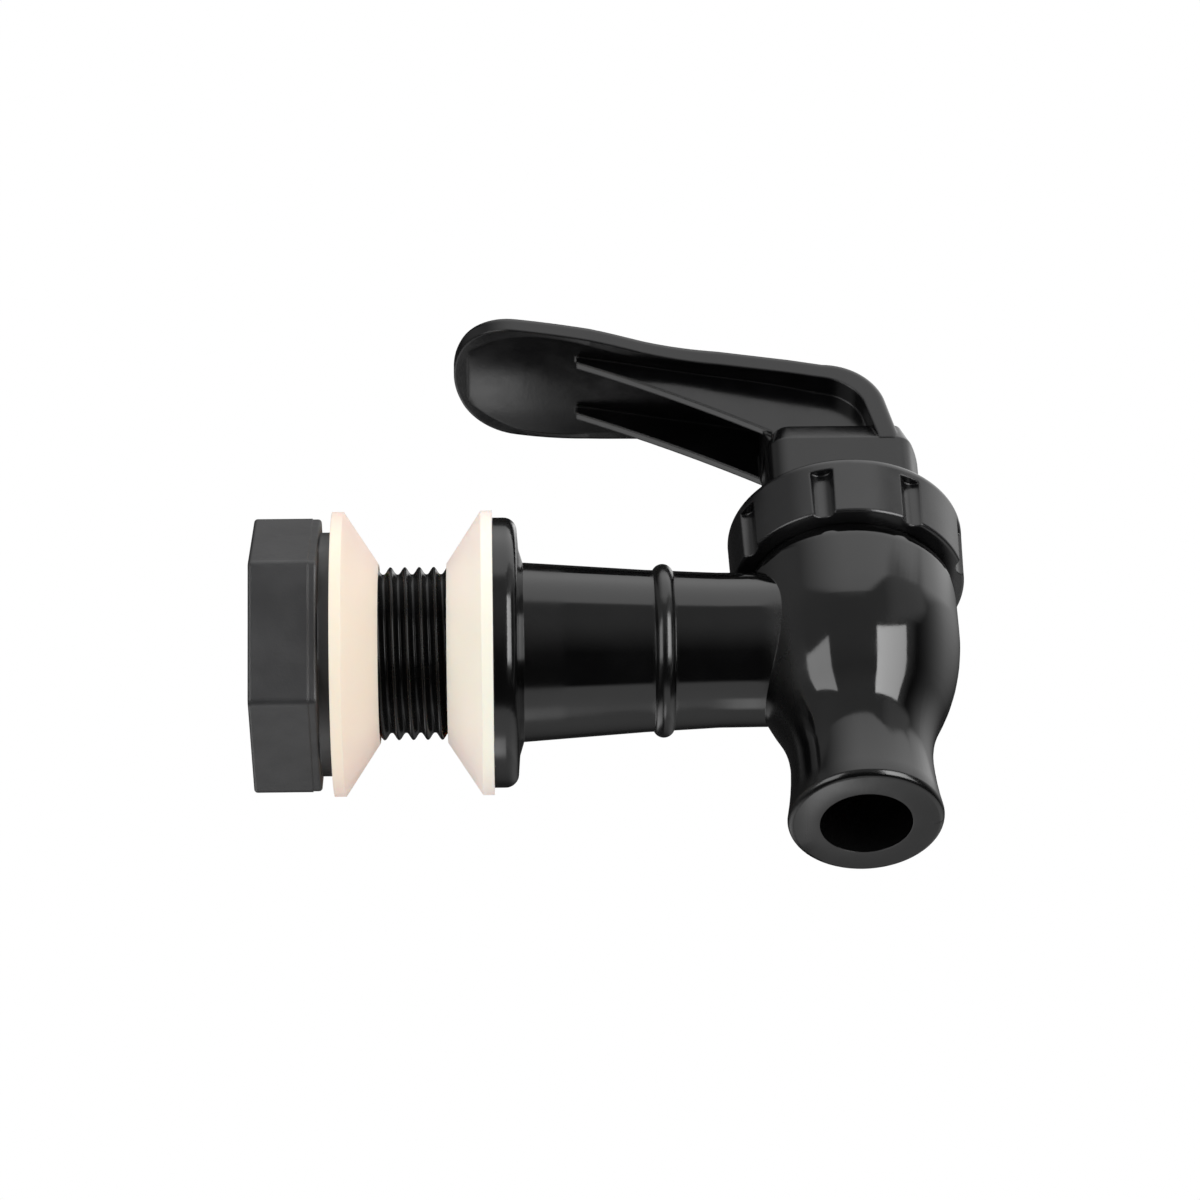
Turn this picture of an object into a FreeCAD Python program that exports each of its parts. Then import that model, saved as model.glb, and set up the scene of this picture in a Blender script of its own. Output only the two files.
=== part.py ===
import FreeCAD
import Part
import Sketcher
import math
import os

# Water dispenser valve: a lever tap that is clamped through the wall of a water crock.
# Frame: origin at the middle of the flange's back face, +X along the shank towards the spout,
# +Z up. The spout, the stem and the lever share one upright axis.

os.makedirs("parts", exist_ok=True)
doc = FreeCAD.newDocument("water_dispenser_valve")
sheet = doc.addObject("Spreadsheet::Sheet", "sizes")

# Upright axis of the bulb, the stem and the lever
upright_axis = {
    "axis_x": 39.66,
}
# Threaded shank, flange and tapered barrel, turned about X
barrel_sizes = {
    "shank_end": -25.9,
    "shank_chamfer_x": -25.2,
    "shank_chamfer_radius": 8.9,
    "shank_radius": 9.525,
    "flange_radius": 14.885,
    "flange_front_x": 2.6,
    "flange_edge_round": 1.5,
    "flange_dome_x": 2.85,
    "flange_dome_radius": 11.4,
    "barrel_start_x": 3.3,
    "barrel_start_radius": 9.9,
    "barrel_middle_x": 16.8,
    "barrel_middle_radius": 8.95,
    "barrel_late_x": 24.8,
    "barrel_late_radius": 8.56,
    "barrel_end_radius": 8.5,
    "barrel_inside_bulb": 5.0,
    "bead_x": 18.7,
    "bead_centre_radius": 8.38,
    "bead_section_radius": 1.2,
    "inlet_bore_radius": 6.2,
    "inlet_bore_end_x": 22.0,
    "inlet_passage_radius": 5.2,
    "inlet_passage_end_x": 37.0,
}
# Bulb and spout, turned about the upright axis
bulb_sizes = {
    "neck_radius": 10.9,
    "neck_top_z": 14.1,
    "shoulder_z": 8.8,
    "shoulder_radius": 10.95,
    "shoulder_middle_z": 7.8,
    "shoulder_middle_radius": 11.55,
    "bulb_top_z": 6.2,
    "bulb_radius": 11.87,
    "bulb_round_z": 1.0,
    "bulb_lower_z": -6.0,
    "bulb_lower_radius": 10.91,
    "waist_start_z": -10.5,
    "waist_start_radius": 9.19,
    "waist_middle_z": -13.5,
    "waist_middle_radius": 8.13,
    "waist_z": -17.2,
    "waist_radius": 7.72,
    "flare_middle_z": -20.5,
    "flare_middle_radius": 7.94,
    "flare_z": -23.75,
    "flare_radius": 8.42,
    "spout_edge_z": -24.32,
    "spout_edge_radius": 8.2,
    "spout_end_z": -24.55,
    "spout_face_radius": 7.75,
    "outlet_bore_radius": 5.0,
    "seat_radius": 6.0,
    "seat_z": -6.2,
    "chamber_floor_z": -7.0,
    "chamber_radius": 8.6,
    "cut_past": 2.0,
    "plug_rest_gap": 0.05,
}
# Tank nut and bevelled washers
nut_sizes = {
    "nut_start_x": -26.3,
    "nut_hex_end_x": -18.83,
    "nut_boss_end_x": -17.545,
    "flats_inside_washer": 2.29,
    "nut_band_length": 1.0,
    "nut_band_step": 0.08,
    "nut_corner_round": 1.0,
    "nut_end_round": 0.4,
    "boss_inside_washer": 2.25,
    "nut_thread_clearance": 0.075,
    "washer_outer_radius": 15.67,
    "washer_rim_width": 1.26,
    "washer_thickness": 5.05,
    "washer_lip": 0.23,
    "washer_clearance": 0.125,
}
# Fluted bonnet collar
collar_sizes = {
    "collar_bottom_z": 8.83,
    "collar_top_z": 17.0,
    "collar_radius": 13.2,
    "collar_foot_radius": 12.98,
    "collar_edge_round": 1.2,
    "collar_foot_round": 0.35,
    "collar_thread_clearance": 0.05,
    "gasket_thickness": 0.8,
    "gasket_inset": 0.15,
    "hub_radius": 5.3,
    "hub_bottom_z": 10.5,
    "stem_clearance": 0.05,
    "flute_section_radius": 1.45,
    "flute_centre_radius": 13.68,
    "flute_top_z": 15.1,
    "flute_count": 8,
    "flute_phase": -104.4,
}
# Stem, its ring, its spring and the seat plug
stem_sizes = {
    "button_bottom_z": -4.0,
    "button_top_z": -2.6,
    "button_radius": 3.4,
    "button_neck_radius": 2.2,
    "stem_flange_bottom_z": 0.0,
    "stem_flange_top_z": 1.5,
    "stem_flange_radius": 6.9,
    "stem_radius": 3.6,
    "groove_bottom_z": 11.1,
    "groove_height": 1.0,
    "groove_radius": 2.7,
    "stem_top_z": 25.5,
    "pivot_z": 22.5,
    "trunnion_radius": 1.6,
    "trunnion_length": 10.0,
    "ring_rise": 0.5,
    "ring_centre_radius": 3.17,
    "ring_section_radius": 0.42,
    "spring_radius": 6.1,
    "spring_wire_half": 0.38,
    "spring_wire_side": 0.157,
    "spring_turns": 4.0,
    "plug_top_z": -0.05,
    "plug_radius": 7.0,
    "plug_shoulder_z": -2.2,
    "plug_shoulder_radius": 5.4,
    "socket_clearance": 0.05,
}
# Lever: side line of the paddle plate, its plan, the ribs and the block
lever_sizes = {
    "tip_x": -4.3,
    "blank_tip_x": -5.5,
    "blank_tip_top_z": 45.3,
    "blank_tip_under_z": 42.85,
    "paddle_x": 3.0,
    "paddle_top_z": 43.55,
    "paddle_under_z": 41.15,
    "dip_x": 11.4,
    "dip_top_z": 42.35,
    "dip_under_z": 39.9,
    "arm_x": 17.9,
    "arm_top_z": 41.2,
    "arm_under_z": 38.75,
    "arm_end_x": 25.0,
    "arm_end_top_z": 39.85,
    "arm_end_under_z": 37.25,
    "bend_top_x": 38.0,
    "bend_top_z": 37.05,
    "bend_middle_x": 42.5,
    "bend_middle_z": 35.3,
    "bend_back_x": 44.8,
    "bend_back_z": 31.7,
    "back_foot_x": 46.26,
    "back_foot_z": 25.1,
    "inner_bend_top_x": 37.5,
    "inner_bend_top_z": 34.6,
    "inner_bend_middle_x": 40.5,
    "inner_bend_middle_z": 33.35,
    "inner_bend_back_x": 42.4,
    "inner_bend_back_z": 30.8,
    "inner_foot_x": 43.8,
    "lever_blank_width": 20.0,
    "tip_side_x": -3.27,
    "tip_side_y": 4.7,
    "tip_corner_x": -0.79,
    "tip_corner_y": 7.56,
    "paddle_side_x": 2.91,
    "paddle_side_y": 8.66,
    "taper_middle_x": 9.0,
    "taper_middle_y": 8.45,
    "taper_x": 14.0,
    "taper_y": 7.8,
    "narrow_x": 17.5,
    "narrow_y": 7.17,
    "narrow_middle_x": 21.0,
    "narrow_middle_y": 6.88,
    "narrow_end_x": 26.0,
    "narrow_end_y": 7.05,
    "root_x": 34.0,
    "root_y": 7.35,
    "plan_margin": 6.0,
    "plate_edge_round": 0.9,
    "dish_tip_x": -2.6,
    "dish_tip_z": 42.23,
    "dish_tip_y": 4.3,
    "dish_tip_depth": 0.15,
    "dish_paddle_y": 7.6,
    "dish_dip_y": 7.3,
    "dish_arm_y": 6.0,
    "dish_depth": 0.95,
    "dish_arm_depth": 0.8,
    "dish_root_x": 37.0,
    "dish_root_z": 34.706,
    "dish_root_y": 5.4,
    "dish_past": 0.8,
    "rib_start_x": 9.9,
    "rib_start_z": 41.6,
    "rib_lip_z": 39.8,
    "rib_middle_x": 21.5,
    "rib_middle_z": 34.3,
    "rib_middle_top_z": 39.3,
    "rib_end_x": 32.4,
    "rib_end_z": 28.25,
    "rib_end_top_z": 36.6,
    "rib_outer_y": 4.75,
    "rib_thickness": 1.05,
    "block_left_x": 30.8,
    "block_right_x": 46.9,
    "block_bow_x": 48.6,
    "block_side_y": 7.3,
    "block_clearance": 0.3,
    "block_top_z": 27.95,
    "block_corner_round": 3.0,
    "block_back_round": 2.0,
    "shoulder_height": 2.75,
    "shoulder_inset": 1.1,
    "head_left_x": 31.9,
    "head_foot_z": 27.0,
    "head_bend_x": 38.5,
    "head_bend_z": 35.2,
    "head_back_x": 42.6,
    "head_back_z": 31.5,
    "head_back_foot_x": 44.2,
    "head_hollow_floor_z": 29.2,
    "head_hollow_right_x": 40.4,
    "head_hollow_width": 7.4,
    "web_left_x": 30.9,
    "web_top_z": 32.6,
    "cavity_half_length": 6.4,
    "cavity_half_width": 3.8,
    "cavity_top_z": 27.0,
    "trunnion_clearance": 0.05,
    "trunnion_end_gap": 0.3,
}

size = {}
for group in (upright_axis, barrel_sizes, bulb_sizes, nut_sizes, collar_sizes, stem_sizes, lever_sizes):
    for name, value in group.items():
        row = str(len(size) + 1)
        sheet.set("A" + row, name)
        sheet.set("B" + row, str(value))
        sheet.setAlias("B" + row, name)
        size[name] = value
doc.recompute()


def reading(text):
    # Turns a sum such as "axis_x + bulb_radius" into its value and its bound expression
    total = 0.0
    sign = 1.0
    words = []
    for word in text.split():
        if word in ("+", "-"):
            sign = 1.0 if word == "+" else -1.0
            words.append(word)
            continue
        total += sign * (size[word] if word in size else float(word))
        words.append("sizes." + word if word in size else word)
        sign = 1.0
    return total, " ".join(words)


def new_body(label):
    body = doc.addObject("PartDesign::Body", label)
    body.Label = label
    body.Placement = FreeCAD.Placement()
    return body


def new_sketch(body, role, name, shift=None):
    # shift moves the sketch along its own x, y or z by a named size
    sketch = body.newObject("Sketcher::SketchObject", name)
    plane = [item for item in body.Origin.OriginFeatures if item.Role == role][0]
    sketch.AttachmentSupport = (plane, [""])
    sketch.MapMode = "FlatFace"
    for direction, text in (shift or {}).items():
        sketch.setExpression("AttachmentOffset.Base." + direction, reading(text)[1])
    return sketch


def bind(sketch, kind, places, text):
    value, expression = reading(text)
    index = sketch.addConstraint(Sketcher.Constraint(kind, *places, value))
    sketch.setExpression("Constraints[%d]" % index, expression)


def pin_point(sketch, curve, end, across, up):
    # Holds a point at its named place from the sketch's origin
    for kind, axis, text in (("DistanceX", -2, across), ("DistanceY", -1, up)):
        if abs(reading(text)[0]) < 1e-9:
            sketch.addConstraint(Sketcher.Constraint("PointOnObject", curve, end, axis))
        else:
            bind(sketch, kind, (-1, 1, curve, end), text)


def spot(across, up):
    return FreeCAD.Vector(reading(across)[0], reading(up)[0], 0)


def arc_through(start, middle, finish):
    # A sketch's arc always runs anticlockwise, so a clockwise one is stored from its finish to its start
    bow = Part.Arc(start, middle, finish).toShape().Curve
    anticlockwise = (middle - start).cross(finish - middle).z > 0
    first, last = (start, finish) if anticlockwise else (finish, start)
    first_turn = math.atan2(first.y - bow.Center.y, first.x - bow.Center.x)
    last_turn = math.atan2(last.y - bow.Center.y, last.x - bow.Center.x)
    if last_turn < first_turn:
        last_turn += 2 * math.pi
    whole = Part.Circle(bow.Center, FreeCAD.Vector(0, 0, 1), bow.Radius)
    return Part.ArcOfCircle(whole, first_turn, last_turn), anticlockwise


def outline(sketch, steps):
    # Closed outline: a step of two sizes is a straight run, one of four an arc through its first point
    first_curve = sketch.GeometryCount
    ends = []
    for number, step in enumerate(steps):
        start = spot(*steps[number - 1][-2:])
        finish = spot(*step[-2:])
        forwards = True
        if len(step) == 2:
            sketch.addGeometry(Part.LineSegment(start, finish), False)
        else:
            bow, forwards = arc_through(start, spot(*step[:2]), finish)
            sketch.addGeometry(bow, False)
        ends.append((2, 1) if forwards else (1, 2))
    for number, step in enumerate(steps):
        follower = (number + 1) % len(steps)
        curve = first_curve + number
        sketch.addConstraint(Sketcher.Constraint("Coincident", curve, ends[number][0],
                                                 first_curve + follower, ends[follower][1]))
        pin_point(sketch, curve, ends[number][0], *step[-2:])
        if len(step) == 4:
            dot = sketch.addGeometry(Part.Point(spot(*step[:2])), True)
            pin_point(sketch, dot, 1, *step[:2])
            sketch.addConstraint(Sketcher.Constraint("PointOnObject", dot, 1, curve))


def circle(sketch, across, up, radius):
    centre = FreeCAD.Vector(reading(across)[0], reading(up)[0], 0)
    curve = sketch.addGeometry(Part.Circle(centre, FreeCAD.Vector(0, 0, 1), reading(radius)[0]), False)
    pin_point(sketch, curve, 3, across, up)
    bind(sketch, "Radius", (curve,), radius)


def turned(body, kind, name, sketch, axis):
    # kind is Revolution to add or Groove to cut; axis is H_Axis or V_Axis of the sketch
    feature = body.newObject("PartDesign::" + kind, name)
    feature.Profile = sketch
    feature.ReferenceAxis = (sketch, [axis])
    feature.Angle = 360.0
    return feature


def pushed(body, kind, name, sketch, length, symmetric=False, backwards=False):
    # kind is Pad to add or Pocket to cut
    feature = body.newObject("PartDesign::" + kind, name)
    feature.Profile = sketch
    feature.setExpression("Length", reading(length)[1])
    feature.Midplane = symmetric
    feature.Reversed = backwards
    return feature


def chosen_edges(feature, test):
    doc.recompute()
    names = []
    for number, edge in enumerate(feature.Shape.Edges):
        if test(edge):
            names.append("Edge%d" % (number + 1))
    return names


def rounded(body, name, feature, test, radius):
    names = chosen_edges(feature, test)
    fillet = body.newObject("PartDesign::Fillet", name)
    fillet.Base = (feature, names)
    fillet.setExpression("Radius", reading(radius)[1])
    return fillet


def is_ring(edge, radius, x=None, z=None):
    # A full circle of this radius, at this x about the shank's axis or at this z about the upright axis
    curve = edge.Curve
    if not isinstance(curve, Part.Circle) or abs(curve.Radius - radius) > 0.01:
        return False
    place = curve.Center.x if x is not None else curve.Center.z
    return abs(place - (x if x is not None else z)) < 0.01


# Valve body: shank, flange, barrel, bulb and spout in one moulding
def make_valve_body():
    body = new_body("valve_body")
    barrel = new_sketch(body, "XZ_Plane", "barrel_outline")
    outline(barrel, [
        ("shank_end", "0"),
        ("shank_end", "shank_chamfer_radius"),
        ("shank_chamfer_x", "shank_radius"),
        ("0", "shank_radius"),
        ("0", "flange_radius"),
        ("flange_front_x", "flange_radius"),
        ("flange_dome_x", "flange_dome_radius"),
        ("barrel_start_x", "barrel_start_radius"),
        ("barrel_middle_x", "barrel_middle_radius"),
        ("barrel_late_x", "barrel_late_radius"),
        ("axis_x - barrel_inside_bulb", "barrel_end_radius"),
        ("axis_x - barrel_inside_bulb", "0"),
    ])
    turned_barrel = turned(body, "Revolution", "barrel", barrel, "H_Axis")
    flange_edge = rounded(body, "flange_edge", turned_barrel,
                          lambda edge: is_ring(edge, size["flange_radius"], x=size["flange_front_x"]),
                          "flange_edge_round")
    body.Tip = flange_edge
    bead = new_sketch(body, "XZ_Plane", "bead_outline")
    circle(bead, "bead_x", "bead_centre_radius", "bead_section_radius")
    turned(body, "Revolution", "bead_ring", bead, "H_Axis")
    bulb = new_sketch(body, "XZ_Plane", "bulb_outline", {"x": "axis_x"})
    outline(bulb, [
        ("0", "spout_end_z"),
        ("spout_face_radius", "spout_end_z"),
        ("spout_edge_radius", "spout_edge_z", "flare_radius", "flare_z"),
        ("flare_middle_radius", "flare_middle_z", "waist_radius", "waist_z"),
        ("waist_middle_radius", "waist_middle_z", "waist_start_radius", "waist_start_z"),
        ("bulb_lower_radius", "bulb_lower_z", "bulb_radius", "bulb_round_z"),
        ("bulb_radius", "bulb_top_z"),
        ("shoulder_middle_radius", "shoulder_middle_z", "shoulder_radius", "shoulder_z"),
        ("neck_radius", "shoulder_z"),
        ("neck_radius", "neck_top_z"),
        ("0", "neck_top_z"),
    ])
    turned(body, "Revolution", "bulb", bulb, "V_Axis")
    inlet = new_sketch(body, "XZ_Plane", "inlet_outline")
    outline(inlet, [
        ("shank_end - cut_past", "0"),
        ("shank_end - cut_past", "inlet_bore_radius"),
        ("inlet_bore_end_x", "inlet_bore_radius"),
        ("inlet_bore_end_x", "inlet_passage_radius"),
        ("inlet_passage_end_x", "inlet_passage_radius"),
        ("inlet_passage_end_x", "0"),
    ])
    turned(body, "Groove", "inlet_bore", inlet, "H_Axis")
    outlet = new_sketch(body, "XZ_Plane", "chamber_outline", {"x": "axis_x"})
    outline(outlet, [
        ("0", "spout_end_z - cut_past"),
        ("outlet_bore_radius", "spout_end_z - cut_past"),
        ("outlet_bore_radius", "seat_z"),
        ("seat_radius", "seat_z"),
        ("seat_radius", "chamber_floor_z"),
        ("chamber_radius", "chamber_floor_z"),
        ("chamber_radius", "neck_top_z + cut_past"),
        ("0", "neck_top_z + cut_past"),
    ])
    turned(body, "Groove", "chamber", outlet, "V_Axis")
    return body


# Regular hexagon about the shank's axis, held by its guide circle
def hexagon_sketch(body, name, shift, half_flats):
    sketch = new_sketch(body, "YZ_Plane", name, {"z": shift})
    value, expression = reading(half_flats)
    reach = value / math.cos(math.radians(30))
    corners = []
    for number in range(6):
        turn = math.radians(60 * number)
        corners.append(FreeCAD.Vector(reach * math.cos(turn), reach * math.sin(turn), 0))
    for number in range(6):
        sketch.addGeometry(Part.LineSegment(corners[number - 1], corners[number]), False)
    for number in range(6):
        sketch.addConstraint(Sketcher.Constraint("Coincident", number, 2, (number + 1) % 6, 1))
    guide = sketch.addGeometry(Part.Circle(FreeCAD.Vector(), FreeCAD.Vector(0, 0, 1), reach), True)
    sketch.addConstraint(Sketcher.Constraint("Coincident", guide, 3, -1, 1))
    for number in range(6):
        sketch.addConstraint(Sketcher.Constraint("PointOnObject", number, 2, guide))
    for number in range(5):
        sketch.addConstraint(Sketcher.Constraint("Equal", number, number + 1))
    sketch.addConstraint(Sketcher.Constraint("PointOnObject", 0, 2, -1))
    index = sketch.addConstraint(Sketcher.Constraint("Radius", guide, reach))
    sketch.setExpression("Constraints[%d]" % index, "(%s) / cos(30 deg)" % expression)
    return sketch


# Hexagonal tank nut: wrench faces, a slightly smaller end band and a round bearing boss
def make_tank_nut():
    body = new_body("tank_nut")
    faces = hexagon_sketch(body, "wrench_faces", "nut_start_x", "washer_outer_radius - flats_inside_washer")
    pushed(body, "Pad", "wrench_body", faces, "nut_hex_end_x - nut_band_length - nut_start_x")
    band = hexagon_sketch(body, "end_band_outline", "nut_hex_end_x - nut_band_length",
                          "washer_outer_radius - flats_inside_washer - nut_band_step")
    end_band = pushed(body, "Pad", "end_band", band, "nut_band_length")
    corners = rounded(body, "nut_corners", end_band,
                      lambda edge: abs(edge.BoundBox.XLength - edge.Length) < 0.01, "nut_corner_round")
    ends = rounded(body, "nut_end_edges", corners,
                   lambda edge: edge.BoundBox.XMax < size["nut_start_x"] + 0.01
                   or edge.BoundBox.XMin > size["nut_hex_end_x"] - 0.01, "nut_end_round")
    body.Tip = ends
    boss = new_sketch(body, "YZ_Plane", "boss_outline", {"z": "nut_hex_end_x"})
    circle(boss, "0", "0", "washer_outer_radius - boss_inside_washer")
    pushed(body, "Pad", "bearing_boss", boss, "nut_boss_end_x - nut_hex_end_x")
    bore = new_sketch(body, "YZ_Plane", "bore_outline", {"z": "nut_start_x"})
    circle(bore, "0", "0", "shank_radius + nut_thread_clearance")
    pushed(body, "Pocket", "thread_bore", bore, "nut_boss_end_x - nut_start_x", backwards=True)
    return body


# Bevelled silicone washer: a flat face, a straight rim and a cone towards the wall
def make_washer(label, face, direction):
    body = new_body(label)
    section = new_sketch(body, "XZ_Plane", label + "_outline")
    sign = " + " if direction > 0 else " - "
    bore = "shank_radius + washer_clearance"
    outline(section, [
        (face, bore),
        (face, "washer_outer_radius"),
        (face + sign + "washer_rim_width", "washer_outer_radius"),
        (face + sign + "washer_thickness", bore + " + washer_lip"),
        (face + sign + "washer_thickness", bore),
    ])
    turned(body, "Revolution", label + "_ring", section, "H_Axis")
    return body


# Bonnet collar: fluted cap nut with a hub that guides the stem
def make_bonnet_collar():
    body = new_body("bonnet_collar")
    section = new_sketch(body, "XZ_Plane", "collar_outline", {"x": "axis_x"})
    outline(section, [
        ("neck_radius + collar_thread_clearance", "collar_bottom_z"),
        ("collar_foot_radius", "collar_bottom_z"),
        ("collar_radius", "collar_top_z"),
        ("stem_radius + stem_clearance", "collar_top_z"),
        ("stem_radius + stem_clearance", "hub_bottom_z"),
        ("hub_radius", "hub_bottom_z"),
        ("hub_radius", "neck_top_z + gasket_thickness"),
        ("neck_radius + collar_thread_clearance", "neck_top_z + gasket_thickness"),
    ])
    ring = turned(body, "Revolution", "collar_ring", section, "V_Axis")
    top_edge = rounded(body, "collar_edge", ring,
                       lambda edge: is_ring(edge, size["collar_radius"], z=size["collar_top_z"]),
                       "collar_edge_round")
    edge = rounded(body, "collar_foot_edge", top_edge,
                   lambda edge: is_ring(edge, size["collar_foot_radius"], z=size["collar_bottom_z"]),
                   "collar_foot_round")
    body.Tip = edge
    scoop = new_sketch(body, "XY_Plane", "flute_outline", {"x": "axis_x", "z": "collar_bottom_z - cut_past"})
    turn = math.radians(size["flute_phase"])
    place = FreeCAD.Vector(math.cos(turn), math.sin(turn), 0) * size["flute_centre_radius"]
    curve = scoop.addGeometry(Part.Circle(place, FreeCAD.Vector(0, 0, 1), size["flute_section_radius"]), False)
    bind(scoop, "Radius", (curve,), "flute_section_radius")
    for kind, trig in (("DistanceX", "cos"), ("DistanceY", "sin")):
        value = place.x if kind == "DistanceX" else place.y
        index = scoop.addConstraint(Sketcher.Constraint(kind, -1, 1, curve, 3, value))
        scoop.setExpression("Constraints[%d]" % index,
                            "sizes.flute_centre_radius * %s(sizes.flute_phase * 1 deg)" % trig)
    flute = pushed(body, "Pocket", "flute", scoop, "flute_top_z - collar_bottom_z + cut_past", backwards=True)
    pattern = body.newObject("PartDesign::PolarPattern", "flutes")
    pattern.Originals = [flute]
    pattern.Axis = (scoop, ["N_Axis"])
    pattern.Angle = 360.0
    pattern.setExpression("Occurrences", "sizes.flute_count")
    body.Tip = pattern
    return body


def make_bonnet_gasket():
    body = new_body("bonnet_gasket")
    section = new_sketch(body, "XZ_Plane", "gasket_outline", {"x": "axis_x"})
    outline(section, [
        ("chamber_radius + gasket_inset", "neck_top_z"),
        ("neck_radius - gasket_inset", "neck_top_z"),
        ("neck_radius - gasket_inset", "neck_top_z + gasket_thickness"),
        ("chamber_radius + gasket_inset", "neck_top_z + gasket_thickness"),
    ])
    turned(body, "Revolution", "gasket_ring", section, "V_Axis")
    return body


# Stem: button foot, spring flange, ring groove and the two trunnions that carry the lever
def make_stem():
    body = new_body("stem")
    section = new_sketch(body, "XZ_Plane", "stem_outline", {"x": "axis_x"})
    outline(section, [
        ("0", "button_bottom_z"),
        ("button_radius", "button_bottom_z"),
        ("button_radius", "button_top_z"),
        ("button_neck_radius", "button_top_z"),
        ("button_neck_radius", "stem_flange_bottom_z"),
        ("stem_flange_radius", "stem_flange_bottom_z"),
        ("stem_flange_radius", "stem_flange_top_z"),
        ("stem_radius", "stem_flange_top_z"),
        ("stem_radius", "groove_bottom_z"),
        ("groove_radius", "groove_bottom_z"),
        ("groove_radius", "groove_bottom_z + groove_height"),
        ("stem_radius", "groove_bottom_z + groove_height"),
        ("stem_radius", "stem_top_z"),
        ("0", "stem_top_z"),
    ])
    turned(body, "Revolution", "stem_rod", section, "V_Axis")
    cross = new_sketch(body, "XZ_Plane", "trunnion_outline")
    circle(cross, "axis_x", "pivot_z", "trunnion_radius")
    pushed(body, "Pad", "trunnions", cross, "trunnion_length", symmetric=True)
    return body


def make_stem_o_ring():
    body = new_body("stem_o_ring")
    section = new_sketch(body, "XZ_Plane", "o_ring_outline", {"x": "axis_x"})
    circle(section, "ring_centre_radius", "groove_bottom_z + ring_rise", "ring_section_radius")
    turned(body, "Revolution", "o_ring", section, "V_Axis")
    return body


# Spring between the stem's flange and the collar's roof, its wire kept light as an octagon
def make_stem_spring():
    body = new_body("stem_spring")
    wire = new_sketch(body, "XZ_Plane", "wire_outline", {"x": "axis_x"})
    across = "spring_radius"
    up = "stem_flange_top_z + spring_wire_half"
    outline(wire, [
        (across + " + spring_wire_half", up + " - spring_wire_side"),
        (across + " + spring_wire_half", up + " + spring_wire_side"),
        (across + " + spring_wire_side", up + " + spring_wire_half"),
        (across + " - spring_wire_side", up + " + spring_wire_half"),
        (across + " - spring_wire_half", up + " + spring_wire_side"),
        (across + " - spring_wire_half", up + " - spring_wire_side"),
        (across + " - spring_wire_side", "stem_flange_top_z"),
        (across + " + spring_wire_side", "stem_flange_top_z"),
    ])
    coil = body.newObject("PartDesign::AdditiveHelix", "coil")
    coil.Profile = wire
    coil.ReferenceAxis = (wire, ["V_Axis"])
    coil.Mode = "height-turns-growth"
    roof = "neck_top_z + gasket_thickness - stem_flange_top_z - spring_wire_half - spring_wire_half"
    coil.setExpression("Height", reading(roof)[1])
    coil.setExpression("Turns", "sizes.spring_turns")
    return body


# Seat plug: silicone, snapped over the stem's button
def make_seat_plug():
    body = new_body("seat_plug")
    section = new_sketch(body, "XZ_Plane", "plug_outline", {"x": "axis_x"})
    outline(section, [
        ("0", "seat_z + plug_rest_gap"),
        ("plug_radius", "seat_z + plug_rest_gap"),
        ("plug_radius", "plug_shoulder_z"),
        ("plug_shoulder_radius", "plug_top_z"),
        ("button_neck_radius + socket_clearance", "plug_top_z"),
        ("button_neck_radius + socket_clearance", "button_top_z + socket_clearance"),
        ("button_radius + socket_clearance", "button_top_z + socket_clearance"),
        ("button_radius + socket_clearance", "button_bottom_z - socket_clearance"),
        ("0", "button_bottom_z - socket_clearance"),
    ])
    turned(body, "Revolution", "plug", section, "V_Axis")
    return body


def is_upper_rim(edge, shape):
    # The plate's upper and back rim: just inside and below such an edge there is plate
    box = edge.BoundBox
    upright = abs(box.ZLength - edge.Length) < 0.01
    across = abs(box.YMin + box.YMax) < 0.01
    if upright or across or box.ZMax < size["block_top_z"] + 0.1:
        return False
    inward = size["plate_edge_round"] / 3
    middle = edge.valueAt((edge.FirstParameter + edge.LastParameter) / 2)
    probe = middle - FreeCAD.Vector(inward, math.copysign(inward, middle.y), inward)
    return shape.isInside(probe, 0.01, False)


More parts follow.
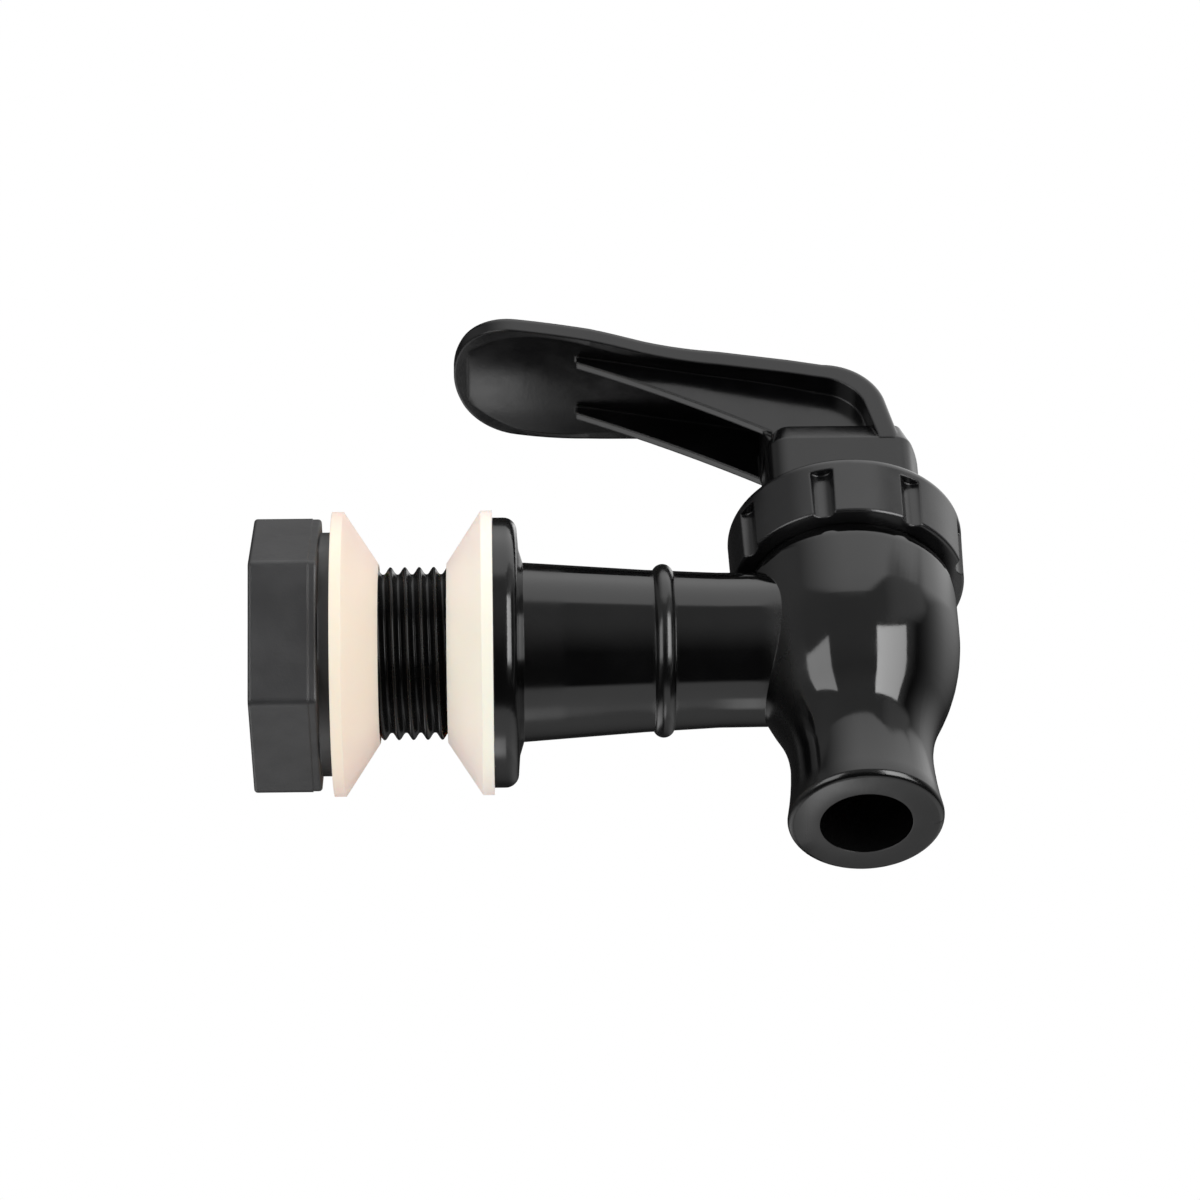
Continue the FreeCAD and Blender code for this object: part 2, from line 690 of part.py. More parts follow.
def add_paddle_plate(body):
    # The plate is its side outline, trimmed to its plan, with its upper edge rounded
    side = new_sketch(body, "XZ_Plane", "plate_side")
    outline(side, [
        ("blank_tip_x", "blank_tip_top_z"),
        ("paddle_x", "paddle_top_z", "dip_x", "dip_top_z"),
        ("arm_x", "arm_top_z", "arm_end_x", "arm_end_top_z"),
        ("bend_top_x", "bend_top_z"),
        ("bend_middle_x", "bend_middle_z", "bend_back_x", "bend_back_z"),
        ("back_foot_x", "back_foot_z"),
        ("inner_foot_x", "back_foot_z"),
        ("inner_bend_back_x", "inner_bend_back_z"),
        ("inner_bend_middle_x", "inner_bend_middle_z", "inner_bend_top_x", "inner_bend_top_z"),
        ("arm_end_x", "arm_end_under_z"),
        ("arm_x", "arm_under_z", "dip_x", "dip_under_z"),
        ("paddle_x", "paddle_under_z", "blank_tip_x", "blank_tip_under_z"),
    ])
    pushed(body, "Pad", "plate_blank", side, "lever_blank_width", symmetric=True)
    plan = new_sketch(body, "XY_Plane", "plate_plan")
    outline(plan, [
        ("tip_x - plan_margin", "0 - root_y - plan_margin"),
        ("block_bow_x + plan_margin", "0 - root_y - plan_margin"),
        ("block_bow_x + plan_margin", "root_y + plan_margin"),
        ("tip_x - plan_margin", "root_y + plan_margin"),
    ])
    outline(plan, [
        ("block_bow_x + block_corner_round", "root_y"),
        ("root_x", "root_y"),
        ("narrow_end_x", "narrow_end_y"),
        ("narrow_middle_x", "narrow_middle_y", "narrow_x", "narrow_y"),
        ("taper_x", "taper_y"),
        ("taper_middle_x", "taper_middle_y", "paddle_side_x", "paddle_side_y"),
        ("tip_corner_x", "tip_corner_y", "tip_side_x", "tip_side_y"),
        ("tip_x", "0", "tip_side_x", "0 - tip_side_y"),
        ("tip_corner_x", "0 - tip_corner_y", "paddle_side_x", "0 - paddle_side_y"),
        ("taper_middle_x", "0 - taper_middle_y", "taper_x", "0 - taper_y"),
        ("narrow_x", "0 - narrow_y"),
        ("narrow_middle_x", "0 - narrow_middle_y", "narrow_end_x", "0 - narrow_end_y"),
        ("root_x", "0 - root_y"),
        ("block_bow_x + block_corner_round", "0 - root_y"),
    ])
    trim = body.newObject("PartDesign::Pocket", "plate_trim")
    trim.Profile = plan
    trim.Type = "ThroughAll"
    trim.Reversed = True
    names = chosen_edges(trim, lambda edge: is_upper_rim(edge, trim.Shape))
    rim = body.newObject("PartDesign::Fillet", "plate_edge")
    rim.Base = (trim, names)
    rim.setExpression("Radius", "sizes.plate_edge_round")


def add_underside_dish(body):
    # Shallow hollow along the plate's underside, lofted through lens sections that leave a rim at the edge
    sections = []
    for station, level, half_width, depth in (
            ("dish_tip_x", "dish_tip_z", "dish_tip_y", "dish_tip_depth"),
            ("paddle_x", "paddle_under_z", "dish_paddle_y", "dish_depth"),
            ("dip_x", "dip_under_z", "dish_dip_y", "dish_depth"),
            ("arm_x", "arm_under_z", "dish_arm_y", "dish_arm_depth"),
            ("arm_end_x", "arm_end_under_z", "dish_arm_y", "dish_arm_depth"),
            ("dish_root_x", "dish_root_z", "dish_root_y", "dish_tip_depth")):
        sketch = new_sketch(body, "YZ_Plane", "dish_section_%d" % (len(sections) + 1), {"z": station})
        outline(sketch, [
            (half_width, level + " - dish_past"),
            (half_width, level),
            ("0", level + " + " + depth, "0 - " + half_width, level),
            ("0 - " + half_width, level + " - dish_past"),
        ])
        sections.append(sketch)
    dish = body.newObject("PartDesign::SubtractiveLoft", "underside_dish")
    dish.Profile = sections[0]
    dish.Sections = sections[1:]


def add_ribs(body):
    # Two ribs that start level with the paddle's underside and deepen towards the block
    for label, inner in (("near_rib", "rib_outer_y - rib_thickness"), ("far_rib", "0 - rib_outer_y")):
        side = new_sketch(body, "XZ_Plane", label + "_outline", {"z": inner})
        outline(side, [
            ("rib_start_x", "rib_start_z"),
            ("rib_start_x", "rib_lip_z"),
            ("rib_middle_x", "rib_middle_z", "rib_end_x", "rib_end_z"),
            ("rib_end_x", "rib_end_top_z"),
            ("rib_middle_x", "rib_middle_top_z"),
        ])
        pushed(body, "Pad", label, side, "rib_thickness")


def add_block(body):
    # Rounded block that stands on the collar, with a sloped shoulder round its top
    plan = new_sketch(body, "XY_Plane", "block_plan", {"z": "collar_top_z + block_clearance"})
    outline(plan, [
        ("block_left_x", "0 - block_side_y"),
        ("block_right_x", "0 - block_side_y"),
        ("block_bow_x", "0", "block_right_x", "block_side_y"),
        ("block_left_x", "block_side_y"),
    ])
    block = pushed(body, "Pad", "block", plan, "block_top_z - collar_top_z - block_clearance")
    height = reading("block_top_z - collar_top_z - block_clearance")[0]
    middle_x = (size["block_left_x"] + size["block_right_x"]) / 2
    front = rounded(body, "block_front_corners", block,
                    lambda edge: abs(edge.Length - height) < 0.01 and edge.BoundBox.XMax < middle_x,
                    "block_corner_round")
    corners = rounded(body, "block_back_corners", front,
                      lambda edge: abs(edge.Length - height) < 0.01 and edge.BoundBox.XMin > middle_x
                      and abs(abs(edge.BoundBox.YMin) - size["block_side_y"]) < 0.01,
                      "block_back_round")
    top_edges = chosen_edges(corners, lambda edge: edge.BoundBox.ZMin > size["block_top_z"] - 0.01)
    shoulder = body.newObject("PartDesign::Chamfer", "block_shoulder")
    shoulder.Base = (corners, top_edges)
    shoulder.ChamferType = "Two distances"
    shoulder.setExpression("Size", "sizes.shoulder_height")
    shoulder.setExpression("Size2", "sizes.shoulder_inset")


# Lever: paddle plate, two ribs and the block over the stem, in one moulding
def make_lever():
    body = new_body("lever")
    add_block(body)
    add_paddle_plate(body)
    add_underside_dish(body)
    head = new_sketch(body, "XZ_Plane", "head_outline")
    outline(head, [
        ("head_left_x", "head_foot_z"),
        ("head_left_x", "rib_end_top_z"),
        ("head_bend_x", "head_bend_z"),
        ("head_back_x", "head_back_z"),
        ("head_back_foot_x", "head_foot_z"),
    ])
    pushed(body, "Pad", "head", head, "rib_outer_y + rib_outer_y", symmetric=True)
    add_ribs(body)
    hollow = new_sketch(body, "XZ_Plane", "head_hollow_outline")
    outline(hollow, [
        ("head_left_x - cut_past", "head_hollow_floor_z"),
        ("head_left_x - cut_past", "rib_end_top_z - cut_past"),
        ("inner_bend_top_x", "inner_bend_top_z - cut_past"),
        ("head_hollow_right_x", "head_hollow_floor_z"),
    ])
    pushed(body, "Pocket", "head_hollow", hollow, "head_hollow_width", symmetric=True)
    web = new_sketch(body, "XZ_Plane", "web_outline")
    outline(web, [
        ("web_left_x", "head_hollow_floor_z"),
        ("web_left_x", "web_top_z"),
        ("head_left_x", "web_top_z"),
        ("head_left_x", "head_foot_z"),
    ])
    pushed(body, "Pad", "cross_web", web, "head_hollow_width + rib_thickness", symmetric=True)
    cavity = new_sketch(body, "XY_Plane", "cavity_plan", {"x": "axis_x", "z": "collar_top_z"})
    outline(cavity, [
        ("0 - cavity_half_length", "0 - cavity_half_width"),
        ("cavity_half_length", "0 - cavity_half_width"),
        ("cavity_half_length", "cavity_half_width"),
        ("0 - cavity_half_length", "cavity_half_width"),
    ])
    pushed(body, "Pocket", "stem_cavity", cavity, "cavity_top_z - collar_top_z", backwards=True)
    holes = new_sketch(body, "XZ_Plane", "trunnion_hole_outline")
    circle(holes, "axis_x", "pivot_z", "trunnion_radius + trunnion_clearance")
    pushed(body, "Pocket", "trunnion_holes", holes, "trunnion_length + trunnion_end_gap", symmetric=True)
    return body


def check_and_write(bodies):
    doc.recompute()
    for item in doc.Objects:
        if "Invalid" in item.State or "Error" in item.State:
            raise RuntimeError("%s failed: %s" % (item.Name, item.State))
    for body in bodies:
        shape = body.Shape
        if shape.isNull() or not shape.isValid() or len(shape.Solids) != 1:
            raise RuntimeError("%s is not one valid solid" % body.Label)
        shape.exportStep("parts/%s.step" % body.Label)
        box = shape.optimalBoundingBox()
        print("%-15s volume %8.1f  x %6.2f..%6.2f  y %6.2f..%6.2f  z %6.2f..%6.2f" % (
            body.Label, shape.Volume, box.XMin, box.XMax, box.YMin, box.YMax, box.ZMin, box.ZMax))


check_and_write([
    make_valve_body(),
    make_tank_nut(),
    make_washer("tank_washer", "nut_boss_end_x", 1),
    make_washer("flange_washer", "0", -1),
    make_bonnet_collar(),
    make_bonnet_gasket(),
    make_stem(),
    make_stem_o_ring(),
    make_stem_spring(),
    make_seat_plug(),
    make_lever(),
])
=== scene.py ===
import math

import bmesh
import bpy
from mathutils import Matrix, Vector


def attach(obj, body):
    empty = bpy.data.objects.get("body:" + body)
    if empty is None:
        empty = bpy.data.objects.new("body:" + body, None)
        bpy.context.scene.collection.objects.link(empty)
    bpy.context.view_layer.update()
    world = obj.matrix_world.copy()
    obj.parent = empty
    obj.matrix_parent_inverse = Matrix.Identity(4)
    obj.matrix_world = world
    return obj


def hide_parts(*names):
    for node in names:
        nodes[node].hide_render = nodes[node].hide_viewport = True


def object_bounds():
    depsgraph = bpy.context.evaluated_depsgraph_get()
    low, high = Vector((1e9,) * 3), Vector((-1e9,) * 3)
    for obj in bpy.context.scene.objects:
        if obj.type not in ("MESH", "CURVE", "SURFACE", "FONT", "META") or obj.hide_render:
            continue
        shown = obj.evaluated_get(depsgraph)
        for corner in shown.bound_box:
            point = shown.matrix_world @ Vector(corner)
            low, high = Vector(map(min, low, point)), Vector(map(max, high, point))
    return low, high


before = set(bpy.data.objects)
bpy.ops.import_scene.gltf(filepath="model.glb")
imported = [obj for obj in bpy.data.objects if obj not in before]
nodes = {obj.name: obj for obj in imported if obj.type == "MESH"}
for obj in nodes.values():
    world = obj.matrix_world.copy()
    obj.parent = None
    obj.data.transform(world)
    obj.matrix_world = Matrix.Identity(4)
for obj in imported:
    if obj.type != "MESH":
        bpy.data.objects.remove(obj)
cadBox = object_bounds()
scene = bpy.context.scene
scene.view_settings.view_transform = "Standard"
print("frame loaded")


# Materials

def newMaterial(name):
    material = bpy.data.materials.new(name)
    material.use_nodes = True
    tree = material.node_tree
    shader = tree.nodes["Principled BSDF"]
    place = tree.nodes.new("ShaderNodeTexCoord").outputs["Object"]
    return material, tree, shader, place


def addNode(tree, kind, **settings):
    node = tree.nodes.new(kind)
    for name, value in settings.items():
        if hasattr(node, name):
            setattr(node, name, value)
        else:
            node.inputs[name.replace("_", " ")].default_value = value
    return node


def noise(tree, place, scale, detail=2.0, roughness=0.5):
    node = addNode(tree, "ShaderNodeTexNoise", Scale=scale, Detail=detail, Roughness=roughness)
    tree.links.new(place, node.inputs["Vector"])
    return node.outputs["Fac"]


def calculate(tree, operation, first, second):
    node = addNode(tree, "ShaderNodeMath", operation=operation)
    for socket, value in zip(node.inputs, (first, second)):
        if isinstance(value, (int, float)):
            socket.default_value = value
        else:
            tree.links.new(value, socket)
    return node.outputs[0]


def spread(tree, value, low, high, outLow, outHigh):
    # carries a value from one range to another, as a soft step where the first range is narrow
    node = addNode(tree, "ShaderNodeMapRange", interpolation_type="SMOOTHSTEP")
    tree.links.new(value, node.inputs["Value"])
    for socket, number in zip(("From Min", "From Max", "To Min", "To Max"), (low, high, outLow, outHigh)):
        node.inputs[socket].default_value = number
    return node.outputs["Result"]


def mixColours(tree, factor, first, second):
    node = addNode(tree, "ShaderNodeMix", data_type="RGBA")
    tree.links.new(factor, node.inputs["Factor"])
    node.inputs["A"].default_value = (*first, 1)
    node.inputs["B"].default_value = (*second, 1)
    return node.outputs["Result"]


def bumped(tree, shader, layers, edgeRadius):
    # stacks bump layers of (height, depth in metres) over softened edges
    edge = addNode(tree, "ShaderNodeBevel", samples=6)
    edge.inputs["Radius"].default_value = edgeRadius
    normal = edge.outputs["Normal"]
    for height, depth in layers:
        bump = addNode(tree, "ShaderNodeBump")
        bump.inputs["Strength"].default_value = 1.0
        bump.inputs["Distance"].default_value = depth
        tree.links.new(height, bump.inputs["Height"])
        tree.links.new(normal, bump.inputs["Normal"])
        normal = bump.outputs["Normal"]
    tree.links.new(normal, shader.inputs["Normal"])


# the part of a noise's range that is carried to the whole range of what the noise drives
noiseSpan = {"patches": (0.35, 0.7), "mottle": (0.3, 0.7), "plasticMottle": (0.3, 0.75)}

blackPlastics = {
    # colour, colour in patches, roughness low and high, grain depth and scale, depth of slow waves,
    # radius of softened edges
    "bodyGloss": {
        "colour": (0.0014, 0.0014, 0.0015), "patches": (0.0036, 0.0036, 0.0037),
        "roughness": (0.06, 0.1), "grain": 0.000001, "grainScale": 2600,
        "waves": 0.000016, "edge": 0.0001},
    "threadSatin": {
        "colour": (0.0012, 0.0012, 0.0013), "patches": (0.002, 0.002, 0.0021),
        "roughness": (0.24, 0.3), "ior": 1.29, "grain": 0.000001, "grainScale": 2600,
        "waves": 0.00001, "edge": 0.00004},
    "nutMatte": {
        "colour": (0.012, 0.012, 0.0128), "patches": (0.019, 0.019, 0.02),
        "roughness": (0.4, 0.5), "grain": 0.000012, "grainScale": 2400,
        "waves": 0.00002, "edge": 0.00025},
    "collarSatin": {
        "colour": (0.005, 0.005, 0.0054), "patches": (0.008, 0.008, 0.0084),
        "roughness": (0.17, 0.24), "grain": 0.000003, "grainScale": 2600,
        "waves": 0.000012, "edge": 0.0003},
    "leverSatin": {
        "colour": (0.0012, 0.0012, 0.0014), "patches": (0.003, 0.003, 0.0034),
        "roughness": (0.16, 0.23), "ior": 1.46, "grain": 0.0000055, "grainScale": 2200,
        "waves": 0.00002, "edge": 0.0004},
}
plasticSkin = {"patchScale": 90, "roughnessScale": 320, "waveScale": 55, "ior": 1.54, "seamHeight": 0.00006}


def makeBlackPlastic(name, seam=None, dull=()):
    look = blackPlastics[name]
    material, tree, shader, place = newMaterial(name)
    patches = noise(tree, place, plasticSkin["patchScale"], 3.0, 0.6)
    share = spread(tree, patches, *noiseSpan["patches"], 0, 1)
    tree.links.new(mixColours(tree, share, look["colour"], look["patches"]), shader.inputs["Base Color"])
    mottle = noise(tree, place, plasticSkin["roughnessScale"], 4.0, 0.65)
    roughness = spread(tree, mottle, *noiseSpan["plasticMottle"], *look["roughness"])
    for zone in dull:
        # rougher skin inside the zone's limits, each given as axis, where it is full, where it starts
        split = addNode(tree, "ShaderNodeSeparateXYZ")
        tree.links.new(place, split.inputs[0])
        more = zone["more"]
        for axis, full, start in zone["limits"]:
            more = calculate(tree, "MULTIPLY", spread(tree, split.outputs[axis], full, start, 1.0, 0.0), more)
        roughness = calculate(tree, "ADD", roughness, more)
    tree.links.new(roughness, shader.inputs["Roughness"])
    shader.inputs["IOR"].default_value = look.get("ior", plasticSkin["ior"])
    layers = [(noise(tree, place, plasticSkin["waveScale"], 1.0), look["waves"]),
              (noise(tree, place, look["grainScale"], 3.0, 0.6), look["grain"])]
    if seam:
        layers.append((seamHeight(tree, place, seam), plasticSkin["seamHeight"]))
    bumped(tree, shader, layers, look["edge"])
    return material


def seamHeight(tree, place, seam):
    # a low mould line in the plane y = 0, on the surfaces past a given x
    split = addNode(tree, "ShaderNodeSeparateXYZ")
    tree.links.new(place, split.inputs[0])
    off = calculate(tree, "ABSOLUTE", split.outputs["Y"], 0.0)
    line = spread(tree, off, seam["half"] * seam["crest"], seam["half"], 1.0, 0.0)
    where = spread(tree, split.outputs["X"], seam["from"], seam["from"] + seam["fade"], 0.0, 1.0)
    return calculate(tree, "MULTIPLY", line, where)


silicones = {
    # colour, colour in patches, and a painted sheen: a pinkish tint laid on where the skin is seen at a slant
    "creamSilicone": {"colour": (0.96, 0.91, 0.78), "patches": (0.955, 0.89, 0.765),
                      "paintedSlantSheen": (0.95, 0.81, 0.75)},
    "warmSilicone": {"colour": (0.93, 0.825, 0.68), "patches": (0.915, 0.78, 0.64),
                     "paintedSlantSheen": (0.89, 0.71, 0.62)},
}
# the last two entries set the slant at which the painted sheen starts and where it is full
siliconeSkin = {"roughness": (0.42, 0.55), "scatter": 0.35, "scatterRadius": 0.0016,
                "scatterTint": (1.0, 0.6, 0.4), "slantBlend": 0.35, "grain": 0.000006,
                "patchScale": 45, "mottleScale": 500, "waveScale": 60, "grainScale": 1800, "waves": 0.00003,
                "edge": 0.00025, "ior": 1.41, "paintedSheenFrom": 0.18, "paintedSheenFull": 0.75}


def makeSilicone(name):
    look = silicones[name]
    material, tree, shader, place = newMaterial(name)
    blotches = noise(tree, place, siliconeSkin["patchScale"], 2.0)
    share = spread(tree, blotches, *noiseSpan["patches"], 0, 1)
    # painted sheen: the colour turns to a pinkish tint as the skin is seen more at a slant, following the
    # viewing angle rather than the silicone's own colour
    slant = addNode(tree, "ShaderNodeLayerWeight", Blend=siliconeSkin["slantBlend"])
    paintedSlantSheen = addNode(tree, "ShaderNodeMix", data_type="RGBA")
    paintedSlantSheen.inputs["B"].default_value = (*look["paintedSlantSheen"], 1)
    facing = spread(tree, slant.outputs["Facing"], siliconeSkin["paintedSheenFrom"], siliconeSkin["paintedSheenFull"], 0, 1)
    tree.links.new(facing, paintedSlantSheen.inputs["Factor"])
    tree.links.new(mixColours(tree, share, look["colour"], look["patches"]), paintedSlantSheen.inputs["A"])
    tree.links.new(paintedSlantSheen.outputs["Result"], shader.inputs["Base Color"])
    mottle = noise(tree, place, siliconeSkin["mottleScale"], 3.0)
    tree.links.new(spread(tree, mottle, *noiseSpan["mottle"], *siliconeSkin["roughness"]),
                   shader.inputs["Roughness"])
    shader.inputs["Subsurface Weight"].default_value = siliconeSkin["scatter"]
    shader.inputs["Subsurface Radius"].default_value = siliconeSkin["scatterTint"]
    shader.inputs["Subsurface Scale"].default_value = siliconeSkin["scatterRadius"]
    shader.inputs["IOR"].default_value = siliconeSkin["ior"]
    layers = [(noise(tree, place, siliconeSkin["waveScale"], 1.0), siliconeSkin["waves"]),
              (noise(tree, place, siliconeSkin["grainScale"], 3.0), siliconeSkin["grain"])]
    bumped(tree, shader, layers, siliconeSkin["edge"])
    return material


innerMaterials = {
    "whiteAcetal": {"colour": (0.80, 0.80, 0.77), "patches": (0.74, 0.74, 0.71), "roughness": (0.3, 0.4)},
    "blackRubber": {"colour": (0.02, 0.02, 0.02), "patches": (0.03, 0.03, 0.03), "roughness": (0.5, 0.65)},
    "springSteel": {"colour": (0.55, 0.55, 0.56), "patches": (0.45, 0.45, 0.46), "roughness": (0.25, 0.4),
                    "metal": 1.0},
}
innerSkin = {"patchScale": 400, "mottleScale": 900, "grainScale": 3000, "grain": 0.000002, "edge": 0.0001}


def makeInnerMaterial(name):
    # for the stem, its ring and its spring, which only show with the collar off
    look = innerMaterials[name]
    material, tree, shader, place = newMaterial(name)
    blotches = noise(tree, place, innerSkin["patchScale"], 3.0)
    tree.links.new(mixColours(tree, blotches, look["colour"], look["patches"]), shader.inputs["Base Color"])
    mottle = noise(tree, place, innerSkin["mottleScale"], 3.0)
    tree.links.new(spread(tree, mottle, *noiseSpan["mottle"], *look["roughness"]), shader.inputs["Roughness"])
    shader.inputs["Metallic"].default_value = look.get("metal", 0.0)
    bumped(tree, shader, [(noise(tree, place, innerSkin["grainScale"], 2.0), innerSkin["grain"])],
           innerSkin["edge"])
    return material


def dress(node, material):
    mesh = nodes[node].data
    mesh.materials.clear()
    mesh.materials.append(material)


bodySeam = {"half": 0.00016, "crest": 0.3, "from": 0.046, "fade": 0.002}
bodyDull = {
    "flange": {"limits": [("X", 0.0070, 0.0085)], "more": 0.09},
    "bead": {"limits": [("X", 0.0198, 0.0203), ("X", 0.0176, 0.0171)], "more": 0.14},
    "spoutRim": {"limits": [("Z", -0.0228, -0.0210)], "more": 0.12},
    "barrelEnd": {"limits": [("X", 0.0318, 0.0345), ("X", 0.0310, 0.0285), ("Z", -0.001, 0.003)],
                  "more": 0.20},
}
bodyGloss = makeBlackPlastic("bodyGloss", bodySeam, bodyDull.values())
creamSilicone = makeSilicone("creamSilicone")
dress("tank_nut", makeBlackPlastic("nutMatte"))
dress("bonnet_collar", makeBlackPlastic("collarSatin"))
dress("lever", makeBlackPlastic("leverSatin"))
for node in ("flange_washer", "bonnet_gasket", "seat_plug"):
    dress(node, creamSilicone)
dress("tank_washer", makeSilicone("warmSilicone"))
dress("stem", makeInnerMaterial("whiteAcetal"))
dress("stem_o_ring", makeInnerMaterial("blackRubber"))
dress("stem_spring", makeInnerMaterial("springSteel"))
print("materials made")


# Threaded shank

shank = {"endX": -0.0259, "flangeX": 0.0, "majorRadius": 0.009525, "minorRadius": 0.00873,
         "endRadius": 0.0089, "coreRadius": 0.008, "pitch": 0.0015875, "crestAt": 0.00089, "crestWidth": 0.08,
         "rootWidth": 0.14, "around": 160, "stepsPerPitch": 16, "softFlank": 0.35, "endSlope": 2.0,
         "weld": 0.0000005, "crease": 50, "mouldedWeld": 0.000001, "mouldedSkin": 0.0009, "mouldedCrease": 28}


def threadTree():
    # a grid is wrapped round X so that its lines follow the helix, and each point gets its own radius
    tree = bpy.data.node_groups.new("shankThread", "GeometryNodeTree")
    face = tree.interface
    for name, kind in (("Start X", "NodeSocketFloat"), ("Length", "NodeSocketFloat"),
                       ("Pitch", "NodeSocketFloat"), ("Major Radius", "NodeSocketFloat"),
                       ("Minor Radius", "NodeSocketFloat"),
                       ("End Radius", "NodeSocketFloat"), ("Core Radius", "NodeSocketFloat"),
                       ("Crest At", "NodeSocketFloat"), ("Crest Width", "NodeSocketFloat"),
                       ("Root Width", "NodeSocketFloat"),
                       ("Around", "NodeSocketInt"), ("Steps Per Pitch", "NodeSocketInt"),
                       ("Material", "NodeSocketMaterial")):
        face.new_socket(name, in_out="INPUT", socket_type=kind)
    face.new_socket("Geometry", in_out="OUTPUT", socket_type="NodeSocketGeometry")
    given = tree.nodes.new("NodeGroupInput").outputs
    result = tree.nodes.new("NodeGroupOutput")

    def maths(operation, first, second=0.0, third=0.0):
        node = tree.nodes.new("ShaderNodeMath")
        node.operation = operation
        for socket, value in zip(node.inputs, (first, second, third)):
            if isinstance(value, (int, float)):
                socket.default_value = value
            else:
                tree.links.new(value, socket)
        return node.outputs[0]

    turns = maths("ADD", maths("DIVIDE", given["Length"], given["Pitch"]), 1.0)
    grid = tree.nodes.new("GeometryNodeMeshGrid")
    grid.inputs["Size X"].default_value = 1.0
    grid.inputs["Size Y"].default_value = 1.0
    tree.links.new(maths("ADD", given["Around"], 1.0), grid.inputs["Vertices X"])
    tree.links.new(maths("ADD", maths("CEIL", maths("MULTIPLY", turns, given["Steps Per Pitch"])), 1.0),
                   grid.inputs["Vertices Y"])
    spot = tree.nodes.new("ShaderNodeSeparateXYZ")
    tree.links.new(tree.nodes.new("GeometryNodeInputPosition").outputs[0], spot.inputs[0])
    u = maths("ADD", spot.outputs["X"], 0.5)
    v = maths("ADD", spot.outputs["Y"], 0.5)
    along = maths("SUBTRACT", maths("ADD", maths("MULTIPLY", v, turns), u), 1.0)
    d = maths("MINIMUM", maths("MAXIMUM", maths("MULTIPLY", along, given["Pitch"]), 0.0), given["Length"])
    x = maths("ADD", given["Start X"], d)
    # how far this place is from the nearest crest, as a share of half a pitch
    phase = maths("SUBTRACT", maths("DIVIDE", maths("SUBTRACT", x, given["Crest At"]), given["Pitch"]), u)
    away = maths("MULTIPLY", maths("PINGPONG", phase, 0.5), 2.0)
    slope = tree.nodes.new("ShaderNodeMapRange")
    slope.interpolation_type = "SMOOTHERSTEP"
    tree.links.new(away, slope.inputs["Value"])
    tree.links.new(given["Crest Width"], slope.inputs["From Min"])
    tree.links.new(maths("SUBTRACT", 1.0, given["Root Width"]), slope.inputs["From Max"])
    straight = tree.nodes.new("ShaderNodeMapRange")
    tree.links.new(away, straight.inputs["Value"])
    tree.links.new(given["Crest Width"], straight.inputs["From Min"])
    tree.links.new(maths("SUBTRACT", 1.0, given["Root Width"]), straight.inputs["From Max"])
    fall = maths("ADD", maths("MULTIPLY", slope.outputs[0], shank["softFlank"]),
                 maths("MULTIPLY", straight.outputs[0], 1 - shank["softFlank"]))
    depth = maths("SUBTRACT", given["Major Radius"], given["Minor Radius"])
    radius = maths("SUBTRACT", given["Major Radius"], maths("MULTIPLY", fall, depth))
    # chamfer at the open end, and a collar that closes the gap to the flange
    radius = maths("MINIMUM", radius, maths("ADD", given["End Radius"], d))
    ending = maths("MULTIPLY", d, shank["endSlope"])
    radius = maths("MAXIMUM", radius, maths("SUBTRACT", given["End Radius"], ending))
    rest = maths("SUBTRACT", given["Length"], d)
    ending = maths("MULTIPLY", rest, shank["endSlope"])
    radius = maths("MAXIMUM", radius, maths("SUBTRACT", given["Major Radius"], ending))

    def wrapped(sheet, turn, x, radius):
        angle = maths("MULTIPLY", turn, math.tau)
        point = tree.nodes.new("ShaderNodeCombineXYZ")
        tree.links.new(x, point.inputs["X"])
        tree.links.new(maths("MULTIPLY", radius, maths("COSINE", angle)), point.inputs["Y"])
        tree.links.new(maths("MULTIPLY", radius, maths("SINE", angle)), point.inputs["Z"])
        place = tree.nodes.new("GeometryNodeSetPosition")
        tree.links.new(sheet, place.inputs["Geometry"])
        tree.links.new(point.outputs[0], place.inputs["Position"])
        return place.outputs[0]

    outside = wrapped(grid.outputs["Mesh"], u, x, radius)
    # the sleeve's end faces and inner wall: four rings, at v of 0, 1/3, 2/3 and 1, from the flange end back
    core = tree.nodes.new("GeometryNodeMeshGrid")
    core.inputs["Size X"].default_value = 1.0
    core.inputs["Size Y"].default_value = 1.0
    core.inputs["Vertices Y"].default_value = 4
    firstRing, lastRing = 0.17, 0.83
    tree.links.new(maths("ADD", given["Around"], 1.0), core.inputs["Vertices X"])
    back = maths("MULTIPLY", maths("ROUND", v), given["Length"])
    ringX = maths("SUBTRACT", maths("ADD", given["Start X"], given["Length"]), back)
    rise = maths("MULTIPLY", maths("LESS_THAN", v, firstRing),
                 maths("SUBTRACT", given["Major Radius"], given["Core Radius"]))
    lift = maths("MULTIPLY", maths("GREATER_THAN", v, lastRing),
                 maths("SUBTRACT", given["End Radius"], given["Core Radius"]))
    ringRadius = maths("ADD", given["Core Radius"], maths("ADD", rise, lift))
    inside = wrapped(core.outputs["Mesh"], u, ringX, ringRadius)
    both = tree.nodes.new("GeometryNodeJoinGeometry")
    tree.links.new(inside, both.inputs[0])
    tree.links.new(outside, both.inputs[0])
    weld = tree.nodes.new("GeometryNodeMergeByDistance")
    weld.inputs["Distance"].default_value = shank["weld"]
    tree.links.new(both.outputs[0], weld.inputs[0])
    shade = tree.nodes.new("GeometryNodeSetShadeSmooth")
    tree.links.new(weld.outputs[0], shade.inputs["Geometry"])
    crease = tree.nodes.new("GeometryNodeSetShadeSmooth")
    crease.domain = "EDGE"
    crease.inputs["Shade Smooth"].default_value = False
    tree.links.new(shade.outputs[0], crease.inputs["Geometry"])
    bend = tree.nodes.new("GeometryNodeInputMeshEdgeAngle").outputs["Unsigned Angle"]
    sharp = maths("GREATER_THAN", bend, math.radians(shank["crease"]))
